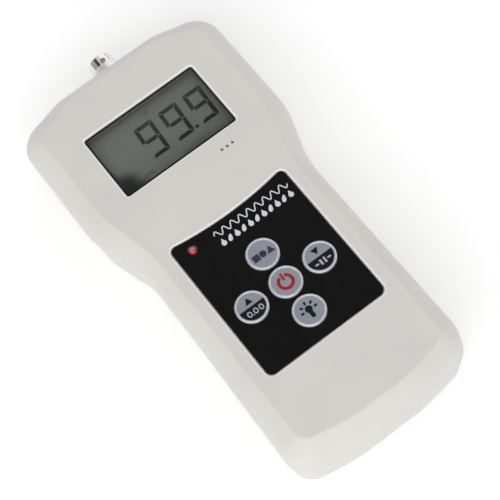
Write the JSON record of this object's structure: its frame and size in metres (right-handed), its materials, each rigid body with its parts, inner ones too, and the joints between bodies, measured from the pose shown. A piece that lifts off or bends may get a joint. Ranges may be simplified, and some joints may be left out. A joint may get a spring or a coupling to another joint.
{
  "type": "grain moisture meter",
  "caption": "Hand-held moisture meter with a waisted two-part case, a segment display, a five-key pad, a battery bay with a sliding door and a coaxial probe socket.",
  "frame": {"origin": "on the flat back of the rear cover, at the middle of the case's width and length", "axes": "+Z out of the face, +Y along the case towards the probe socket, +X to the right seen from the face"},
  "size_m": [0.0816, 0.1721, 0.0306],
  "materials": {
    "case_plastic": "satin moulded ABS, light warm grey",
    "door_plastic": "satin moulded ABS, same grey as the case",
    "black_film": "satin black printed film",
    "key_plastic": "blue-grey cap with a silver rim",
    "clear_plastic": "clear acrylic window",
    "display_glass": "grey-green reflective display",
    "black_plastic": "black moulded plastic",
    "white_plastic": "white moulded plastic",
    "grey_rubber": "conductive silicone strip",
    "red_lens": "tinted epoxy lens",
    "board_resin": "green solder resist on glass-epoxy",
    "nickel": "nickel plated brass",
    "gold_plate": "gold plated contact",
    "zinc_steel": "zinc plated steel",
    "cell_sleeve": "plain shrink sleeve",
    "red_sleeve": "red wire insulation",
    "black_sleeve": "black wire insulation"
  },
  "bodies": {
    "case": {"front_cover": "case_plastic", "rear_cover": "case_plastic", "keypad_overlay": "black_film", "lcd_lens": "clear_plastic", "lcd_glass": "display_glass", "lcd_bezel": "black_plastic", "window_trim": "black_plastic", "backlight_panel": "white_plastic", "zebra_strip_lower": "grey_rubber", "zebra_strip_upper": "grey_rubber", "status_led": "red_lens", "beeper": "black_plastic", "main_board": "board_resin", "microcontroller": "black_plastic", "quartz_crystal": "zinc_steel", "rf_shield_can": "zinc_steel", "battery_socket": "white_plastic", "battery_holder": "black_plastic", "bnc_body": "nickel", "bnc_insulator": "white_plastic", "bnc_contact": "gold_plate", "bnc_washer": "nickel", "bnc_nut": "nickel", "signal_lead": "black_sleeve", "battery_lead_red": "red_sleeve", "battery_lead_black": "black_sleeve", "function_switch": "black_plastic", "power_switch": "black_plastic", "light_switch": "black_plastic", "up_zero_switch": "black_plastic", "down_hold_switch": "black_plastic", "battery_cell_1": "cell_sleeve", "contact_plate_1": "nickel", "battery_spring_1": "nickel", "case_screw_1": "zinc_steel", "board_screw_1": "zinc_steel", "battery_cell_2": "cell_sleeve", "contact_plate_2": "nickel", "battery_spring_2": "nickel", "case_screw_2": "zinc_steel", "board_screw_2": "zinc_steel", "battery_cell_3": "cell_sleeve", "contact_plate_3": "nickel", "battery_spring_3": "nickel", "case_screw_3": "zinc_steel", "board_screw_3": "zinc_steel", "battery_cell_4": "cell_sleeve", "contact_plate_4": "nickel", "battery_spring_4": "nickel", "case_screw_4": "zinc_steel", "board_screw_4": "zinc_steel"},
    "function_button": {"function_button": "key_plastic"},
    "power_button": {"power_button": "key_plastic"},
    "light_button": {"light_button": "key_plastic"},
    "up_zero_button": {"up_zero_button": "key_plastic"},
    "down_hold_button": {"down_hold_button": "key_plastic"},
    "battery_door": {"battery_door": "door_plastic"}
  },
  "joints": [
    {"name": "function_button_press", "type": "slide", "parent": "case", "child": "function_button", "axis": [0, 0, -1], "range_m": [0, 0.0004], "stiffness_N_per_m": 3000},
    {"name": "power_button_press", "type": "slide", "parent": "case", "child": "power_button", "axis": [0, 0, -1], "range_m": [0, 0.0004], "stiffness_N_per_m": 3000},
    {"name": "light_button_press", "type": "slide", "parent": "case", "child": "light_button", "axis": [0, 0, -1], "range_m": [0, 0.0004], "stiffness_N_per_m": 3000},
    {"name": "up_zero_button_press", "type": "slide", "parent": "case", "child": "up_zero_button", "axis": [0, 0, -1], "range_m": [0, 0.0004], "stiffness_N_per_m": 3000},
    {"name": "down_hold_button_press", "type": "slide", "parent": "case", "child": "down_hold_button", "axis": [0, 0, -1], "range_m": [0, 0.0004], "stiffness_N_per_m": 3000},
    {"name": "battery_door_slide", "type": "slide", "parent": "case", "child": "battery_door", "axis": [0, -1, 0], "range_m": [0, 0.02]}
  ]
}
